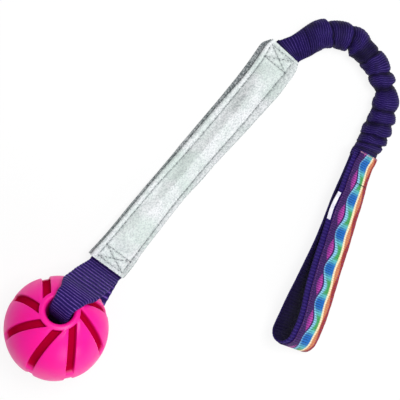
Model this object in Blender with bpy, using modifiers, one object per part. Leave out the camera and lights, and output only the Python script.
"""Bungee tug toy: a grooved rubber ball on a webbing loop, a padded leather grip,
a gathered bungee and a webbing hand loop, laid out on a table.

The frame has +X along the grip from the ball to the bungee and +Z up, and its
origin is the middle of the footprint, on the table. All lengths are in metres.
"""
import math

import bmesh
import bpy
from mathutils import Matrix, Vector

# Shared sizes
CLEARANCE = 0.0003
WEBBING_WIDTH = 0.025
WEBBING_THICKNESS = 0.0015
FOOTPRINT_MIDDLE = (0.0982, -0.0511)

# Ball: a moulded sphere with a bore, rounded lips and grooves from pole to pole
BALL_DIAMETER = 0.065
BORE_DIAMETER = 0.017
LIP_RADIUS = 0.002
BORE_LEAN_DEG = 29.0
BORE_TURN_DEG = 17.0
GROOVE_COUNT = 8
GROOVE_WIDTH = 0.005
GROOVE_DEPTH = 0.0034
GROOVE_OFFSET = 0.008
GROOVE_START_DEG = -4.0
COLLAR_DIAMETER = 0.025
CUT_OVERRUN = 0.002
BALL_SIDES = 56
BALL_ARC_STEPS = 24
GROOVE_STEPS = 16
LIP_STEPS = 3

# Webbing loop through the ball
BALL_TO_MOUTH = 0.0449
STRAP_PROP = 0.0030
TUCK_RADIUS = 0.0012
LOOP_COLUMNS = 28
STRAIGHT_SHARES = (0.0, 0.25, 0.5, 0.8)
ARC_STEPS = 6
ENTRY_STEPS = 9
ENTRY_TUCK_STEPS = 3
LIP_TUCK = 0.8
ENTRY_SHARES = (
    (0.21, 0.61), (-0.18, 0.69), (-0.57, 0.62), (-0.88, 0.36), (-1.02, -0.05),
    (-1.06, -0.54), (-1.10, -1.01), (-1.15, -1.60), (-1.18, -2.00),
)

# Grip: two leather plies sewn over a webbing core and a pad
GRIP_LENGTH = 0.1840
MOUTH_SETBACK = 0.0021
LEATHER_THICKNESS = 0.0014
FRONT_WIDTH = 0.0258
BACK_WIDTH = 0.0272
GRIP_START_ASIDE = 0.0009
GRIP_END_ASIDE = -0.0013
SEAM_INSET = 0.004
END_SEAM_LENGTH = 0.0125
PAD_THICKNESS = 0.0052
PAD_RAMP = 0.012
PAD_INSET = 0.0016
PAD_EDGE = 0.0006
GRIP_ROLL_DEG = 24.0
ROLL_LENGTH = 0.105
GRIP_ROWS = 34
RAMP_SHARES = (0.0, 0.3, 0.6, 1.0)
PAD_COLUMN_SHARES = (1.0, 0.8, 0.55, 0.28)
FLAT_COLUMNS = 4

# Bungee: a gathered tube of webbing over an elastic cord
BUNGEE_ROUTE = (
    (0.2292, -0.0036), (0.2335, -0.0048), (0.2400, -0.0077), (0.2462, -0.0116),
    (0.2516, -0.0162), (0.2559, -0.0218), (0.2588, -0.0282), (0.2601, -0.0351),
    (0.2598, -0.0421), (0.2581, -0.0489), (0.2553, -0.0553), (0.2515, -0.0612),
    (0.2467, -0.0664), (0.2411, -0.0708), (0.2349, -0.0746), (0.2284, -0.0777),
    (0.2214, -0.0803), (0.2143, -0.0824), (0.2066, -0.0844),
)
MOUTH_TUBE_WIDTH = 0.0215
MOUTH_TUBE_HEIGHT = 0.0042
FOLD_CREST_DIAMETER = 0.0192
FOLD_VALLEY_DIAMETER = 0.0164
FOLD_COUNT = 15
SMOOTH_NECK_LENGTH = 0.020
TAIL_LENGTH = 0.006
TAIL_DIAMETER = 0.0172
NECK_RINGS = 6
COVER_SIDES = 16
ELASTIC_DIAMETER = 0.008
ELASTIC_SETBACK = 0.018
ELASTIC_POINTS = 16
ROUTE_SAMPLES = 400
SPLINE_STEPS = 12

# Hand loop: one strap folded back on itself, with a ribbon round its outside
HANDLE_HEADING_DEG = 194.5
HANDLE_LEAN_DEG = 43.0
HANDLE_LENGTH = 0.1297
HANDLE_OPENING = 0.016
PLY_SPACING = WEBBING_THICKNESS + CLEARANCE
OPENING_SHARES = (
    (0.0, 0.0), (0.13, 0.0), (0.23, 0.10), (0.36, 0.20), (0.47, 0.31),
    (0.60, 0.48), (0.73, 0.72), (0.84, 0.92), (0.93, 1.0),
)
STRAIGHT_POINTS = 14
TURN_POINTS = 12
RIBBON_WIDTH = 0.022
RIBBON_THICKNESS = 0.0005
RIBBON_START = 0.002
LABEL_LENGTH = 0.018
LABEL_START = 0.028
LABEL_PROUD = 0.0036
LABEL_ROOT = 0.005
LABEL_THICKNESS = 0.0008

# Colours as red, green, blue
PINK_RUBBER = (0.86, 0.01, 0.30)
PURPLE_WEBBING = (0.035, 0.012, 0.16)
PALE_LEATHER = (0.72, 0.74, 0.72)
PAD_FELT = (0.60, 0.58, 0.52)
ELASTIC_WHITE = (0.70, 0.70, 0.66)
RIBBON_COLOUR = (0.08, 0.35, 0.60)
LABEL_WHITE = (0.85, 0.84, 0.88)

BALL_RADIUS = BALL_DIAMETER / 2
BORE_RADIUS = BORE_DIAMETER / 2
HALF_WEBBING = WEBBING_WIDTH / 2
BALL_HEIGHT = BALL_RADIUS + CLEARANCE + WEBBING_THICKNESS + STRAP_PROP
CORE_LEVEL = LEATHER_THICKNESS + CLEARANCE + WEBBING_THICKNESS / 2
FRONT_LEVEL = CORE_LEVEL + WEBBING_THICKNESS / 2 + CLEARANCE
X_AXIS = Vector((1, 0, 0))
Z_AXIS = Vector((0, 0, 1))


def clear_objects():
    """Start from a scene with no objects."""
    for item in list(bpy.data.objects):
        bpy.data.objects.remove(item, do_unlink=True)


def make_collection(name):
    """A new collection in the scene."""
    collection = bpy.data.collections.new(name)
    bpy.context.scene.collection.children.link(collection)
    return collection


def make_material(name, colour, roughness):
    """A Principled material of one colour."""
    material = bpy.data.materials.new(name)
    material.use_nodes = True
    shader = material.node_tree.nodes["Principled BSDF"]
    shader.inputs["Base Color"].default_value = (*colour, 1)
    shader.inputs["Roughness"].default_value = roughness
    shader.inputs["Metallic"].default_value = 0
    material.diffuse_color = (*colour, 1)
    return material


def toy_place(item):
    """Placement of an empty in the toy's own frame."""
    place = Matrix()
    while item.parent:
        place = item.matrix_basis @ place
        item = item.parent
    return place


def make_pivot(name, parent, point):
    """An empty on a joint's axis; everything that turns with it hangs on it."""
    pivot = bpy.data.objects.new(name, None)
    bpy.data.collections["bungee_tug_toy"].objects.link(pivot)
    pivot.parent = parent
    pivot.matrix_basis = toy_place(parent).inverted() @ Matrix.Translation(point)
    return pivot


def put(name, data, material, pivot, place=Matrix()):
    """An object of the toy, placed in the toy's frame and hung on its pivot."""
    item = bpy.data.objects.new(name, data)
    data.materials.append(material)
    bpy.data.collections["bungee_tug_toy"].objects.link(item)
    item.parent = pivot
    item.matrix_basis = toy_place(pivot).inverted() @ place
    return item


def put_cutter(name, data, pivot, place=Matrix()):
    """An object that only cuts others, hung on the same pivot as they are."""
    item = bpy.data.objects.new(name, data)
    bpy.data.collections["cutters"].objects.link(item)
    item.parent = pivot
    item.matrix_basis = toy_place(pivot).inverted() @ place
    item.hide_render = True
    item.display_type = "WIRE"
    return item


def frame_matrix(x_axis, y_axis, z_axis, origin):
    """A placement from three axes and an origin."""
    columns = Matrix((x_axis, y_axis, z_axis)).transposed()
    return Matrix.Translation(origin) @ columns.to_4x4()


def thicken(item, thickness):
    """Give an open sheet its wall, half to each side."""
    wall = item.modifiers.new("wall", "SOLIDIFY")
    wall.thickness = thickness
    wall.offset = 0
    wall.use_even_offset = True


def cut(item, cutter):
    """Take the cutter's space out of an object."""
    step = item.modifiers.new("cut_" + cutter.name, "BOOLEAN")
    step.operation = "DIFFERENCE"
    step.object = cutter


def sheet_mesh(name, rows, columns, place):
    """A grid sheet whose corner (row, column) lies at place(row, column)."""
    work = bmesh.new()
    bmesh.ops.create_grid(work, x_segments=columns, y_segments=rows, size=0.5)
    for corner in work.verts:
        row = round((corner.co.y + 0.5) * rows)
        column = round((corner.co.x + 0.5) * columns)
        corner.co = place(row, column)
    mesh = bpy.data.meshes.new(name)
    work.to_mesh(mesh)
    work.free()
    return mesh


def loft_mesh(name, rings):
    """A closed skin through rings of equally many points, capped at both ends."""
    work = bmesh.new()
    loops = [[work.verts.new(point) for point in ring] for ring in rings]
    sides = len(loops[0])
    for near, far in zip(loops, loops[1:]):
        for i in range(sides):
            j = (i + 1) % sides
            work.faces.new((near[i], near[j], far[j], far[i]))
    work.faces.new(tuple(reversed(loops[0])))
    work.faces.new(tuple(loops[-1]))
    bmesh.ops.recalc_face_normals(work, faces=work.faces)
    mesh = bpy.data.meshes.new(name)
    work.to_mesh(mesh)
    work.free()
    return mesh


def poly_curve(name, points, flat=False):
    """An open curve of straight pieces through the points."""
    curve = bpy.data.curves.new(name, "CURVE")
    curve.dimensions = "2D" if flat else "3D"
    curve.fill_mode = "NONE" if flat else "FULL"
    spline = curve.splines.new("POLY")
    spline.points.add(len(points) - 1)
    for corner, point in zip(spline.points, points):
        corner.co = (*Vector(point).to_3d(), 1)
    return curve


def curve_to_mesh(item):
    """Replace a curve object by an equal mesh object with welded caps."""
    shape = item.evaluated_get(bpy.context.evaluated_depsgraph_get())
    mesh = bpy.data.meshes.new_from_object(shape)
    work = bmesh.new()
    work.from_mesh(mesh)
    bmesh.ops.remove_doubles(work, verts=work.verts, dist=CLEARANCE / 100)
    bmesh.ops.recalc_face_normals(work, faces=work.faces)
    work.to_mesh(mesh)
    work.free()
    solid = bpy.data.objects.new(item.name, mesh)
    solid.matrix_world = item.matrix_world
    bpy.data.objects.remove(item, do_unlink=True)
    return solid


def shade_round(mesh):
    """Smooth shading with sharp edges kept."""
    mesh.shade_smooth()
    mesh.set_sharp_from_angle(angle=math.radians(35))


def smooth_step(share):
    """A soft ramp from 0 to 1."""
    share = min(max(share, 0), 1)
    return share * share * (3 - 2 * share)


def spline_points(points, count):
    """Evenly spaced points along a smooth curve through the given points."""
    points = [Vector(point) for point in points]
    ends = [2 * points[0] - points[1]] + points + [2 * points[-1] - points[-2]]
    fine = []
    for a, b, c, d in zip(ends, ends[1:], ends[2:], ends[3:]):
        for step in range(SPLINE_STEPS):
            t = step / SPLINE_STEPS
            bend = (2 * a - 5 * b + 4 * c - d) * t * t + (3 * b - a - 3 * c + d) * t ** 3
            fine.append((2 * b + (c - a) * t + bend) / 2)
    fine.append(points[-1])
    lengths = [0]
    for near, far in zip(fine, fine[1:]):
        lengths.append(lengths[-1] + (far - near).length)
    evenly = []
    index = 0
    for step in range(count):
        target = lengths[-1] * step / (count - 1)
        while index < len(fine) - 2 and lengths[index + 1] < target:
            index += 1
        share = (target - lengths[index]) / (lengths[index + 1] - lengths[index])
        evenly.append(fine[index].lerp(fine[index + 1], share))
    return evenly, lengths[-1]


def bore_axes():
    """The ball's bore axis, the direction across it towards the grip, and its side."""
    lean = math.radians(BORE_LEAN_DEG)
    turn = math.radians(BORE_TURN_DEG)
    bore = Vector((
        math.sin(lean) * math.cos(turn),
        math.sin(lean) * math.sin(turn),
        math.cos(lean),
    ))
    across = (X_AXIS - X_AXIS.dot(bore) * bore).normalized()
    return bore, across, bore.cross(across)


def lip_centre():
    """Middle of the rounded lip's section: distance from the bore axis, and along it."""
    lip_out = BORE_RADIUS + LIP_RADIUS
    return lip_out, math.sqrt((BALL_RADIUS - LIP_RADIUS) ** 2 - lip_out ** 2)


def ball_profile():
    """Half outline of the ball's wall, from the top lip round to the bottom lip."""
    lip_out, lip_up = lip_centre()
    pole = math.atan2(lip_out, lip_up)
    points = [Vector((BORE_RADIUS, 0, lip_up))]
    for step in range(1, LIP_STEPS):
        angle = math.pi + (pole - math.pi / 2) * step / LIP_STEPS
        side = Vector((math.cos(angle), 0, -math.sin(angle)))
        points.append(Vector((lip_out, 0, lip_up)) + side * LIP_RADIUS)
    for step in range(BALL_ARC_STEPS + 1):
        angle = pole + (math.pi - 2 * pole) * step / BALL_ARC_STEPS
        points.append(Vector((math.sin(angle), 0, math.cos(angle))) * BALL_RADIUS)
    top = points[:LIP_STEPS]
    for point in reversed(top):
        points.append(Vector((point.x, 0, -point.z)))
    return points


def groove_cutters(bore_frame, pivot):
    """One curved bar for each groove, lying in a plane beside the bore's axis."""
    ring = math.sqrt(BALL_RADIUS ** 2 - GROOVE_OFFSET ** 2)
    collar = COLLAR_DIAMETER / 2
    inward = math.asin(math.sqrt(collar ** 2 - GROOVE_OFFSET ** 2) / ring)
    middle = ring - (GROOVE_DEPTH - CUT_OVERRUN) / 2
    half_depth = (GROOVE_DEPTH + CUT_OVERRUN) / 2
    half_width = GROOVE_WIDTH / 2
    corner = half_width / 2
    cutters = []
    for number in range(GROOVE_COUNT):
        heading = math.radians(GROOVE_START_DEG) + math.tau * number / GROOVE_COUNT
        rings = []
        for step in range(GROOVE_STEPS + 1):
            angle = inward + (math.pi - 2 * inward) * step / GROOVE_STEPS
            out = Vector((math.sin(angle), 0, math.cos(angle)))
            section = (
                (half_depth, -half_width), (half_depth, half_width),
                (corner - half_depth, half_width), (-half_depth, corner),
                (-half_depth, -corner), (corner - half_depth, -half_width),
            )
            rings.append([
                out * (middle + depth) + Vector((0, GROOVE_OFFSET + width, 0))
                for depth, width in section
            ])
        mesh = loft_mesh("groove_%d" % number, rings)
        place = bore_frame @ Matrix.Rotation(heading, 4, "Z")
        cutters.append(put_cutter("groove_cutter_%d" % number, mesh, pivot, place))
    return cutters


def make_ball(material, pivot):
    """The rubber ball: a turned wall round its bore, with grooves cut in it."""
    bore, across, side = bore_axes()
    bore_frame = frame_matrix(across, side, bore, Vector((0, 0, BALL_HEIGHT)))
    profile = ball_profile()
    work = bmesh.new()
    corners = [work.verts.new(point) for point in profile]
    for near, far in zip(corners, corners[1:] + corners[:1]):
        work.edges.new((near, far))
    mesh = bpy.data.meshes.new("ball")
    work.to_mesh(mesh)
    work.free()
    ball = put("ball", mesh, material, pivot, bore_frame)
    turn = ball.modifiers.new("turn", "SCREW")
    turn.steps = BALL_SIDES
    turn.render_steps = BALL_SIDES
    turn.use_merge_vertices = True
    turn.merge_threshold = CLEARANCE / 100
    turn.use_normal_calculate = True
    for cutter in groove_cutters(bore_frame, pivot):
        cut(ball, cutter)
    return ball


def mouth_point():
    """The hinge at the grip's lower mouth, and the strap's width direction there."""
    roll = math.radians(GRIP_ROLL_DEG)
    return grip_point(0, 0, CORE_LEVEL), Vector((0, math.cos(roll), math.sin(roll)))


def turned(start, end, share):
    """A direction part of the way from one direction to another."""
    angle = start.angle(end)
    return (start * math.sin((1 - share) * angle) + end * math.sin(share * angle)) / math.sin(angle)


def tucked(front):
    """A strap's section with its edges turned under past its front.

    Each place from edge to edge is a distance across the strap and a lift.
    """
    section = []
    for column in range(LOOP_COLUMNS + 1):
        lateral = WEBBING_WIDTH * (column / LOOP_COLUMNS - 0.5)
        past = max(abs(lateral) - front, 0)
        angle = min(past / TUCK_RADIUS, math.pi)
        place = min(abs(lateral), front) + TUCK_RADIUS * math.sin(angle)
        place -= max(past - math.pi * TUCK_RADIUS, 0)
        lift = TUCK_RADIUS * (math.cos(angle) - 1)
        section.append(Vector((math.copysign(place, lateral), lift)))
    return section


def half_loop(end_side):
    """Stations from the mouth to the bore; end_side is 1 over the ball, -1 under it.

    A station is a point, the strap's width direction and the half width of its
    front, past which its edges are tucked under.
    """
    bore, across, side = bore_axes()
    centre = Vector((0, 0, BALL_HEIGHT))
    ride = BALL_RADIUS + CLEARANCE + WEBBING_THICKNESS / 2
    lip_out, lip_up = lip_centre()
    mouth, mouth_width = mouth_point()
    reach = mouth - centre
    rim = (bore * lip_up * end_side + across * lip_out).normalized()
    toward = reach.normalized()
    out = (rim - rim.dot(toward) * toward).normalized()
    tangent = math.acos(ride / reach.length)
    leave = toward * math.cos(tangent) + out * math.sin(tangent)
    width = rim.cross(leave).normalized() * end_side
    touch = centre + leave * ride
    away = mouth_width.cross(touch - mouth).normalized() * end_side
    start = mouth + away * PLY_SPACING / 2
    fold = BORE_RADIUS - CLEARANCE - WEBBING_THICKNESS / 2 - TUCK_RADIUS
    narrow = math.sqrt(fold ** 2 - TUCK_RADIUS ** 2) - 2 * CLEARANCE
    stations = []
    for share in STRAIGHT_SHARES:
        spread = mouth_width.lerp(width, smooth_step(share)).normalized()
        stations.append((start.lerp(touch, share), spread, HALF_WEBBING))
    for step in range(ARC_STEPS):
        share = step / ARC_STEPS
        height = ride + 2 * TUCK_RADIUS * smooth_step(share)
        front = HALF_WEBBING + (narrow - HALF_WEBBING) * LIP_TUCK * share
        stations.append((centre + turned(leave, rim, share) * height, width, front))
    entry = [(lip_out + BORE_RADIUS * a, lip_up + BORE_RADIUS * b) for a, b in ENTRY_SHARES]
    for step, place in enumerate(spline_points(entry, ENTRY_STEPS)[0]):
        share = smooth_step(step / ENTRY_TUCK_STEPS)
        front = narrow + (HALF_WEBBING - narrow) * (1 - LIP_TUCK) * (1 - share)
        spread = width.lerp(side, share).normalized()
        point = centre + across * place.x + bore * place.y * end_side
        stations.append((point, spread, front))
    return stations


def loop_stations():
    """The loop's whole middle line: over the ball, down the bore and back under it."""
    return half_loop(1) + half_loop(-1)[::-1]


def make_loop(material, pivot):
    """The ball's webbing loop: out of the grip, down the bore and back underneath."""
    stations = loop_stations()
    points = [station[0] for station in stations]
    tangents = []
    for i in range(len(points)):
        before = points[max(i - 1, 0)]
        after = points[min(i + 1, len(points) - 1)]
        tangents.append((after - before).normalized())

    def place(row, column):
        point, width, front = stations[row]
        normal = width.cross(tangents[row]).normalized()
        across, lift = tucked(front)[column]
        return point + width * across + normal * lift

    mesh = sheet_mesh("ball_loop", len(stations) - 1, LOOP_COLUMNS, place)
    loop = put("ball_loop", mesh, material, pivot)
    thicken(loop, WEBBING_THICKNESS)
    return loop


def grip_roll(distance):
    """Roll of the grip about its length, at a distance from the lower mouth."""
    return math.radians(GRIP_ROLL_DEG) * (1 - smooth_step(distance / ROLL_LENGTH))


def grip_point(distance, lateral, level):
    """A point of the grip: along it, across it, and above its underside.

    The grip lies flat at the bungee end and rolls onto its right edge at the
    ball end, with that edge on the table.
    """
    roll = grip_roll(distance)
    raised = (lateral + BACK_WIDTH / 2) * math.sin(roll) + level * math.cos(roll)
    across = lateral * math.cos(roll) - level * math.sin(roll)
    drift = (GRIP_END_ASIDE - GRIP_START_ASIDE) * distance / GRIP_LENGTH
    return Vector((BALL_TO_MOUTH + distance, across + GRIP_START_ASIDE + drift, raised))


def grip_distances():
    """Stations along the grip, closer together where the pad ends."""
    start = MOUTH_SETBACK
    near = [start, start + END_SEAM_LENGTH / 2]
    near += [start + END_SEAM_LENGTH + PAD_RAMP * share for share in RAMP_SHARES]
    far = [GRIP_LENGTH + start - distance for distance in reversed(near)]
    inner = GRIP_ROWS - 2 * (len(near) - 1)
    gap = far[0] - near[-1]
    middle = [near[-1] + gap * step / inner for step in range(1, inner)]
    return near + middle + far


def dome(distance, lateral):
    """How far the front leather stands above its seam, from 0 to 1."""
    half = FRONT_WIDTH / 2 - SEAM_INSET
    sideways = max(0, 1 - (abs(lateral) / half) ** 3)
    from_end = min(distance - MOUTH_SETBACK, GRIP_LENGTH - distance)
    return sideways * smooth_step((from_end - END_SEAM_LENGTH) / PAD_RAMP)


def front_columns():
    """Lateral places of the front leather's grid, with a line on each seam."""
    edge = FRONT_WIDTH / 2
    seam = edge - SEAM_INSET
    pad = seam - PAD_INSET
    half = [edge, (edge + seam) / 2, seam, (seam + pad) / 2]
    half += [pad * share for share in PAD_COLUMN_SHARES]
    return [-place for place in half] + [0] + half[::-1]


def make_front_leather(material, pivot):
    """The upper ply of leather, domed over the pad between its seams."""
    distances = grip_distances()
    columns = front_columns()
    level = FRONT_LEVEL + LEATHER_THICKNESS / 2
    rise = PAD_THICKNESS + CLEARANCE

    def place(row, column):
        height = level + rise * dome(distances[row], columns[column])
        return grip_point(distances[row], columns[column], height)

    mesh = sheet_mesh("front_leather", len(distances) - 1, len(columns) - 1, place)
    ply = put("front_leather", mesh, material, pivot)
    thicken(ply, LEATHER_THICKNESS)
    return ply


def make_flat_ply(name, width, level, thickness, material, pivot):
    """A flat ply of the grip, following its roll."""
    distances = grip_distances()

    def place(row, column):
        return grip_point(distances[row], width * (column / FLAT_COLUMNS - 0.5), level)

    mesh = sheet_mesh(name, len(distances) - 1, FLAT_COLUMNS, place)
    ply = put(name, mesh, material, pivot)
    thicken(ply, thickness)
    return ply


def make_pad(material, pivot):
    """The bite pad: flat below, crowned above, thin at its ends and sides."""
    seam = FRONT_WIDTH / 2 - SEAM_INSET
    half = [(seam - PAD_INSET) * share for share in PAD_COLUMN_SHARES]
    columns = [-place for place in half] + [0] + half[::-1]
    rise = PAD_THICKNESS + CLEARANCE
    rings = []
    for distance in grip_distances():
        crown = [rise * dome(distance, column) - 2 * CLEARANCE for column in columns]
        if crown[0] < PAD_EDGE:
            continue
        ring = [grip_point(distance, column, FRONT_LEVEL) for column in columns]
        ring += [
            grip_point(distance, column, FRONT_LEVEL + height)
            for column, height in zip(reversed(columns), reversed(crown))
        ]
        rings.append(ring)
    return put("bite_pad", loft_mesh("bite_pad", rings), material, pivot)


def cover_sections():
    """Rings of the bungee cover: share along the route, half width, half height."""
    length = spline_points(BUNGEE_ROUTE, 2)[1]
    valley = FOLD_VALLEY_DIAMETER / 2
    crest = FOLD_CREST_DIAMETER / 2
    sections = []
    for step in range(NECK_RINGS):
        share = step / NECK_RINGS
        soft = smooth_step(share)
        wide = MOUTH_TUBE_WIDTH / 2 * (1 - soft) + valley * soft
        high = MOUTH_TUBE_HEIGHT / 2 * (1 - soft) + valley * soft
        sections.append((share * SMOOTH_NECK_LENGTH / length, wide, high))
    folds = length - SMOOTH_NECK_LENGTH - TAIL_LENGTH
    for fold in range(FOLD_COUNT):
        base = SMOOTH_NECK_LENGTH + folds * fold / FOLD_COUNT
        sections.append((base / length, valley, valley))
        sections.append(((base + folds / FOLD_COUNT / 2) / length, crest, crest))
    tail = TAIL_DIAMETER / 2
    sections.append((1 - TAIL_LENGTH / length, tail, tail))
    sections.append((1, tail, tail))
    return sections


def cover_rings():
    """Points of the bungee cover's rings, standing on the table."""
    route = spline_points(BUNGEE_ROUTE, ROUTE_SAMPLES + 1)[0]
    rings = []
    for share, wide, high in cover_sections():
        index = round(share * ROUTE_SAMPLES)
        before = route[max(index - 1, 0)]
        after = route[min(index + 1, ROUTE_SAMPLES)]
        along = (after - before).to_3d().normalized()
        if index == 0:
            along = X_AXIS
        aside = Z_AXIS.cross(along)
        middle = route[index].to_3d() + Z_AXIS * (high + CLEARANCE)
        ring = []
        for side in range(COVER_SIDES):
            angle = math.tau * (side + 0.5) / COVER_SIDES
            ring.append(middle + aside * wide * math.cos(angle) + Z_AXIS * high * math.sin(angle))
        rings.append(ring)
    return rings


def elastic_route():
    """Middle line of the elastic cord, from inside the neck to the tail."""
    route, length = spline_points(BUNGEE_ROUTE, ROUTE_SAMPLES + 1)
    first = round(ELASTIC_SETBACK / length * ROUTE_SAMPLES)
    height = FOLD_VALLEY_DIAMETER / 2 + CLEARANCE
    points = []
    for step in range(ELASTIC_POINTS):
        index = first + round((ROUTE_SAMPLES - first) * step / (ELASTIC_POINTS - 1))
        points.append(route[index].to_3d() + Z_AXIS * height)
    return points


def make_cord(name, points, radius):
    """A round cord through the points."""
    curve = poly_curve(name, points)
    curve.bevel_depth = radius
    curve.bevel_resolution = 2
    curve.use_fill_caps = True
    return curve


def make_cover(material, pivot):
    """The gathered webbing tube, bored for the elastic cord."""
    mesh = loft_mesh("bungee_cover", cover_rings())
    cover = put("bungee_cover", mesh, material, pivot)
    points = elastic_route()
    along = (points[-1] - points[-2]).normalized()
    points.append(points[-1] + along * CUT_OVERRUN)
    first = (points[1] - points[0]).normalized()
    points[0] = points[0] - first * CLEARANCE
    bore = make_cord("bore_cutter", points, ELASTIC_DIAMETER / 2 + CLEARANCE)
    path = bpy.data.objects.new("bore_cutter", bore)
    bpy.data.collections["cutters"].objects.link(path)
    bpy.context.view_layer.update()
    solid = curve_to_mesh(path)
    cutter = put_cutter("bore_cutter", solid.data, pivot)
    bpy.data.objects.remove(solid, do_unlink=True)
    cut(cover, cutter)
    return cover


def make_elastic(material, pivot):
    """The elastic cord that does the stretching."""
    curve = make_cord("elastic_core", elastic_route(), ELASTIC_DIAMETER / 2)
    return put("elastic_core", curve, material, pivot)


def handle_frame():
    """Placement of the hand loop: x along it, y across its opening, z its width."""
    heading = math.radians(HANDLE_HEADING_DEG)
    lean = math.radians(HANDLE_LEAN_DEG)
    along = Vector((math.cos(heading), math.sin(heading), 0))
    aside = along.cross(Z_AXIS)
    width = aside * math.cos(lean) + Z_AXIS * math.sin(lean)
    opening = Z_AXIS * math.cos(lean) - aside * math.sin(lean)
    drop = (PLY_SPACING + WEBBING_THICKNESS) / 2
    height = HALF_WEBBING * math.sin(lean) + drop * math.cos(lean)
    end = Vector(BUNGEE_ROUTE[-1]).to_3d()
    top = end + along * CLEARANCE + Z_AXIS * height
    return frame_matrix(along, opening, width, top)


def handle_outline():
    """Middle line of the strap: down the front leg, round the turn and back."""
    turn = HANDLE_OPENING / 2
    low = -PLY_SPACING / 2
    straight = HANDLE_LENGTH - turn
    shaped = [
        (share * straight, low + PLY_SPACING + (HANDLE_OPENING - PLY_SPACING) * rise)
        for share, rise in OPENING_SHARES
    ]
    shaped.append((straight, low + HANDLE_OPENING))
    front = [tuple(point) for point in spline_points(shaped, STRAIGHT_POINTS)[0]]
    points = front[:-1]
    for step in range(TURN_POINTS + 1):
        angle = math.pi / 2 - math.pi * step / TURN_POINTS
        points.append((straight + turn * math.cos(angle), low + turn * (1 + math.sin(angle))))
    for step in range(1, STRAIGHT_POINTS // 2 + 1):
        points.append((straight * (1 - 2 * step / STRAIGHT_POINTS), low))
    return [Vector(point) for point in points]


def offset_outline(points, distance):
    """The outline moved outwards, to its left as it is walked."""
    moved = []
    for i, point in enumerate(points):
        before = points[max(i - 1, 0)]
        after = points[min(i + 1, len(points) - 1)]
        along = (after - before).normalized()
        moved.append(point + Vector((-along.y, along.x)) * distance)
    return moved


def make_band(name, points, width, thickness, material, pivot):
    """A flat band on edge along an outline in the hand loop's own plane."""
    curve = poly_curve(name, points, flat=True)
    curve.extrude = width / 2
    band = put(name, curve, material, pivot, handle_frame())
    thicken(band, thickness)
    return band


def make_ribbon(material, pivot):
    """The ribbon sewn round the outside of the hand loop."""
    distance = (WEBBING_THICKNESS + RIBBON_THICKNESS) / 2 + CLEARANCE
    points = offset_outline(handle_outline(), distance)
    points[0] = points[0] + Vector((RIBBON_START, 0))
    points[-1] = points[-1] + Vector((RIBBON_START, 0))
    return make_band("handle_ribbon", points, RIBBON_WIDTH, RIBBON_THICKNESS, material, pivot)


def front_leg_level(distance):
    """Height of the front leg's middle line above the loop's axis."""
    points = handle_outline()
    for near, far in zip(points, points[1:]):
        if near.x <= distance <= far.x:
            share = (distance - near.x) / (far.x - near.x)
            return near.lerp(far, share).y, math.atan2(far.y - near.y, far.x - near.x)
    return points[0].y, 0


def make_label(material, pivot):
    """A bare folded tab sewn behind the front leg, standing past its edge."""
    level, slope = front_leg_level(LABEL_START + LABEL_LENGTH / 2)
    depth = WEBBING_THICKNESS / 2 + CLEARANCE + LABEL_THICKNESS / 2
    work = bmesh.new()
    bmesh.ops.create_cube(work, size=1)
    height = LABEL_PROUD + LABEL_ROOT
    for corner in work.verts:
        corner.co.x *= LABEL_LENGTH
        corner.co.y *= LABEL_THICKNESS
        corner.co.z *= height
    mesh = bpy.data.meshes.new("label")
    work.to_mesh(mesh)
    work.free()
    middle = Vector((LABEL_START + LABEL_LENGTH / 2, level, 0))
    middle += Matrix.Rotation(slope, 3, "Z") @ Vector((0, -depth, 0))
    middle.z = HALF_WEBBING - LABEL_ROOT + height / 2
    place = Matrix.Translation(middle) @ Matrix.Rotation(slope, 4, "Z")
    return put("label", mesh, material, pivot, handle_frame() @ place)


def main():
    """Build the toy on an empty that stands at the footprint's middle."""
    clear_objects()
    make_collection("bungee_tug_toy")
    make_collection("cutters")
    stand = bpy.data.objects.new("toy_frame", None)
    bpy.data.collections["bungee_tug_toy"].objects.link(stand)
    stand.location = (-FOOTPRINT_MIDDLE[0], -FOOTPRINT_MIDDLE[1], 0)
    rubber = make_material("pink_rubber", PINK_RUBBER, 0.28)
    webbing = make_material("purple_webbing", PURPLE_WEBBING, 0.75)
    leather = make_material("pale_leather", PALE_LEATHER, 0.8)
    felt = make_material("pad_felt", PAD_FELT, 0.9)
    elastic = make_material("elastic", ELASTIC_WHITE, 0.6)
    ribbon = make_material("woven_ribbon", RIBBON_COLOUR, 0.5)
    satin = make_material("label_satin", LABEL_WHITE, 0.5)

    loop_pivot = make_pivot("loop_swing_axis", stand, mouth_point()[0])
    ball_pivot = make_pivot("ball_spin_axis", loop_pivot, Vector((0, 0, BALL_HEIGHT)))
    bungee_start = Vector(BUNGEE_ROUTE[0]).to_3d()
    bungee_pivot = make_pivot("bungee_swing_axis", stand, bungee_start)
    handle_top = handle_frame().to_translation()
    handle_pivot = make_pivot("handle_swing_axis", bungee_pivot, handle_top)

    make_ball(rubber, ball_pivot)
    make_loop(webbing, loop_pivot)
    make_front_leather(leather, stand)
    make_flat_ply(
        "back_leather", BACK_WIDTH, LEATHER_THICKNESS / 2, LEATHER_THICKNESS, leather, stand
    )
    make_flat_ply("core_strap", WEBBING_WIDTH, CORE_LEVEL, WEBBING_THICKNESS, webbing, stand)
    make_pad(felt, stand)
    make_cover(webbing, bungee_pivot)
    make_elastic(elastic, bungee_pivot)
    make_band(
        "handle_strap", handle_outline(), WEBBING_WIDTH, WEBBING_THICKNESS, webbing, handle_pivot
    )
    make_ribbon(ribbon, handle_pivot)
    make_label(satin, handle_pivot)
    for item in bpy.data.collections["bungee_tug_toy"].objects:
        if item.type == "MESH":
            shade_round(item.data)


main()
